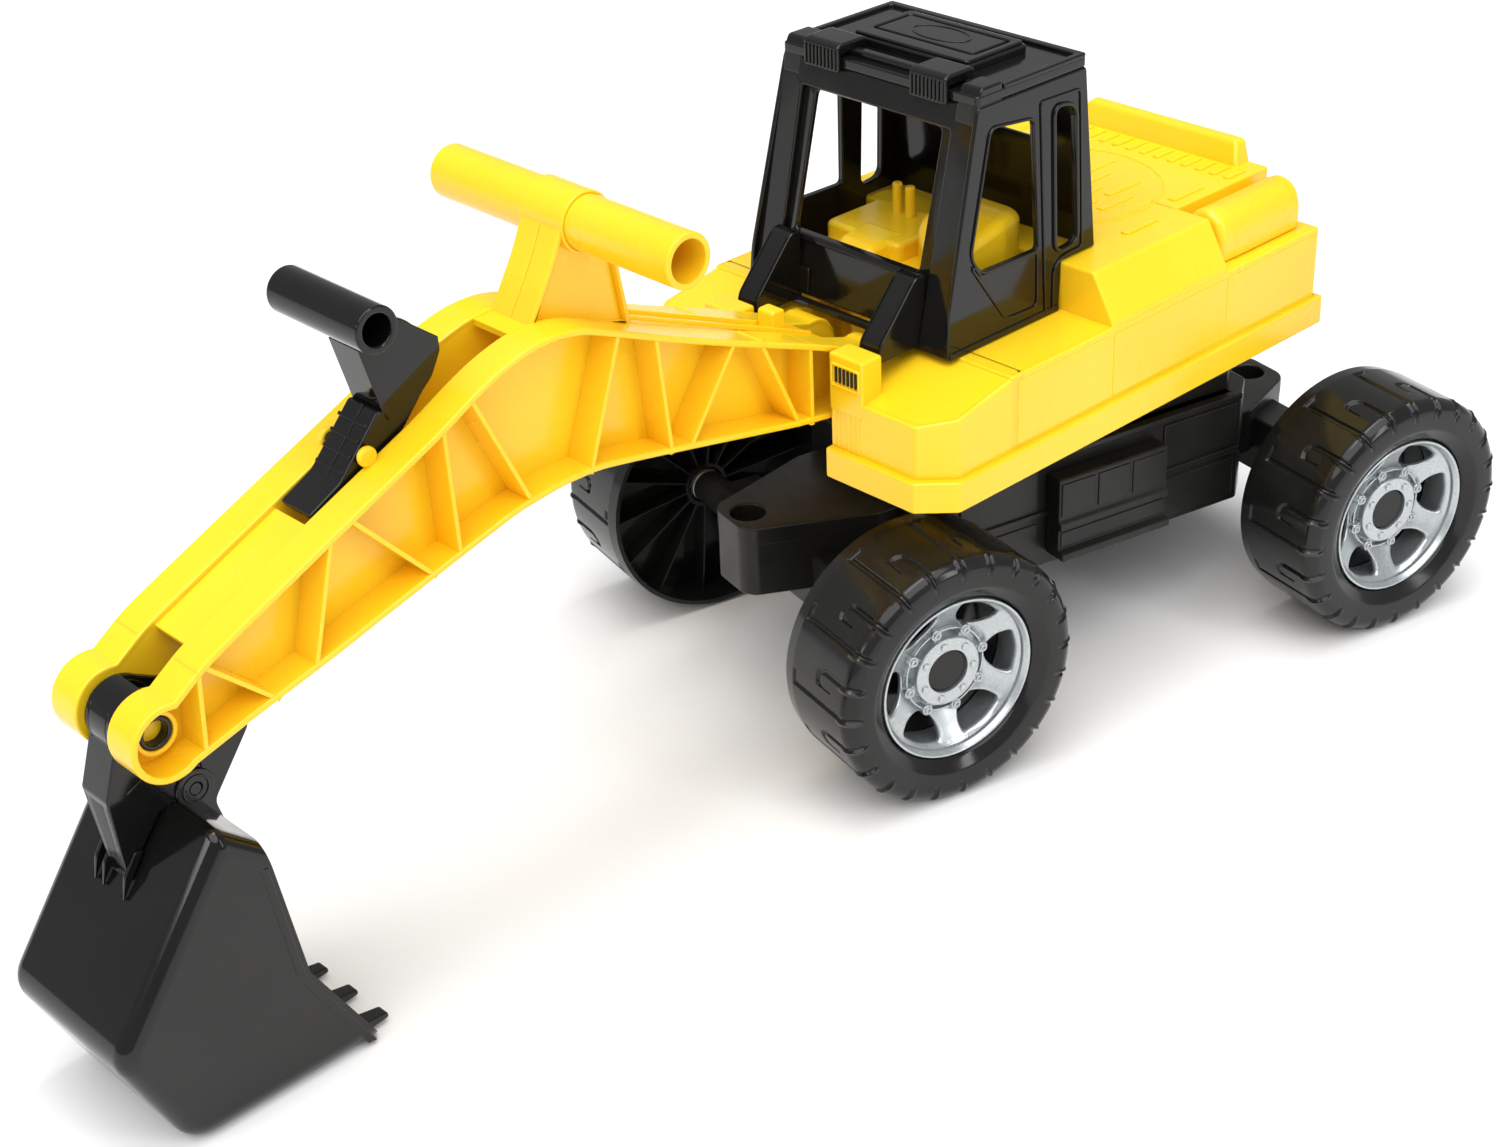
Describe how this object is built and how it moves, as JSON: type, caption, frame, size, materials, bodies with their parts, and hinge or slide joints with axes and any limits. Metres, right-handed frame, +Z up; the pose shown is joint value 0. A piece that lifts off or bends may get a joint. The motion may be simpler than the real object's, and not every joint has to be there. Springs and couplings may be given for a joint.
{
  "type": "toy excavator",
  "caption": "Wheeled toy excavator: slewing house with open cab, trussed lifting boom with a cross grip, and a bucket worked by a hand lever through a link rod.",
  "frame": {"origin": "on the ground, under the middle of the whole toy's box as posed", "axes": "+Z up, -Y to the front of the undercarriage, +X to the toy's left. The house stands turned 13 degrees to its left."},
  "size_m": [0.3128, 0.7848, 0.332],
  "materials": {
    "yellow": "glossy moulded plastic, warm yellow",
    "black_gloss": "glossy black moulded plastic",
    "black_satin": "satin black moulded plastic",
    "tyre_black": "satin dark grey hard plastic with a glossy lip",
    "rim_silver": "silver metallic plastic, satin",
    "steel": "drawn steel rod"
  },
  "bodies": {
    "chassis": {"chassis_frame": "black_satin", "side_box_left": "black_satin", "side_box_right": "black_satin", "slew_ring": "black_satin", "kingpin": "black_satin", "kingpin_washer": "steel", "front_axle": "steel", "rear_axle": "steel"},
    "wheel_front_left": {"tyre_front_left": "tyre_black", "rim_front_left": "rim_silver", "hub_cap_front_left": "black_satin"},
    "wheel_front_right": {"tyre_front_right": "tyre_black", "rim_front_right": "rim_silver", "hub_cap_front_right": "black_satin"},
    "wheel_rear_left": {"tyre_rear_left": "tyre_black", "rim_rear_left": "rim_silver", "hub_cap_rear_left": "black_satin"},
    "wheel_rear_right": {"tyre_rear_right": "tyre_black", "rim_rear_right": "rim_silver", "hub_cap_rear_right": "black_satin"},
    "house": {"house_shell": "yellow", "tank_left": "yellow", "tank_right": "yellow", "grille_left": "black_gloss", "grille_right": "black_gloss", "cab": "black_gloss", "cab_roof": "black_gloss", "roof_lamp_left": "black_gloss", "roof_lamp_right": "black_gloss", "driver_seat": "yellow", "boom_pin": "steel"},
    "boom": {"boom": "yellow", "boom_grip": "yellow", "lever_pin": "black_gloss", "bucket_tube": "black_gloss"},
    "lever": {"lever": "black_gloss", "rod_pin_rear": "steel"},
    "rod": {"link_rod": "black_gloss"},
    "bucket": {"bucket_arm": "black_gloss", "rod_pin_front": "steel", "bucket": "black_gloss"}
  },
  "joints": [
    {"name": "slew", "type": "hinge", "parent": "chassis", "child": "house", "pos_m": [-0.01629, 0.18757, 0.154], "axis": [0, 0, 1], "continuous": true},
    {"name": "boom_lift", "type": "hinge", "parent": "house", "child": "boom", "pos_m": [0.01633, 0.04629, 0.195], "axis": [-0.9744, -0.225, 0], "range_deg": [0, 35]},
    {"name": "bucket_curl", "type": "hinge", "parent": "boom", "child": "bucket", "pos_m": [0.10356, -0.33157, 0.1765], "axis": [-0.9744, -0.225, 0], "range_deg": [-40, 40]},
    {"name": "lever_swing", "type": "hinge", "parent": "boom", "child": "lever", "pos_m": [0.07796, -0.22069, 0.2496], "axis": [-0.9744, -0.225, 0], "range_deg": [-40, 40]},
    {"name": "rod_turn", "type": "hinge", "parent": "lever", "child": "rod", "pos_m": [0.0743, -0.20481, 0.2117], "axis": [-0.9744, -0.225, 0], "range_deg": [-40, 40]},
    {"name": "wheel_front_left_spin", "type": "hinge", "parent": "chassis", "child": "wheel_front_left", "pos_m": [-0.01629, 0.04777, 0.065], "axis": [1, 0, 0], "continuous": true},
    {"name": "wheel_front_right_spin", "type": "hinge", "parent": "chassis", "child": "wheel_front_right", "pos_m": [-0.01629, 0.04777, 0.065], "axis": [1, 0, 0], "continuous": true},
    {"name": "wheel_rear_left_spin", "type": "hinge", "parent": "chassis", "child": "wheel_rear_left", "pos_m": [-0.01629, 0.32737, 0.065], "axis": [1, 0, 0], "continuous": true},
    {"name": "wheel_rear_right_spin", "type": "hinge", "parent": "chassis", "child": "wheel_rear_right", "pos_m": [-0.01629, 0.32737, 0.065], "axis": [1, 0, 0], "continuous": true}
  ],
  "couplings": [
    {"joint": "lever_swing", "follows": "bucket_curl", "ratio": 1},
    {"joint": "rod_turn", "follows": "bucket_curl", "ratio": -1}
  ]
}
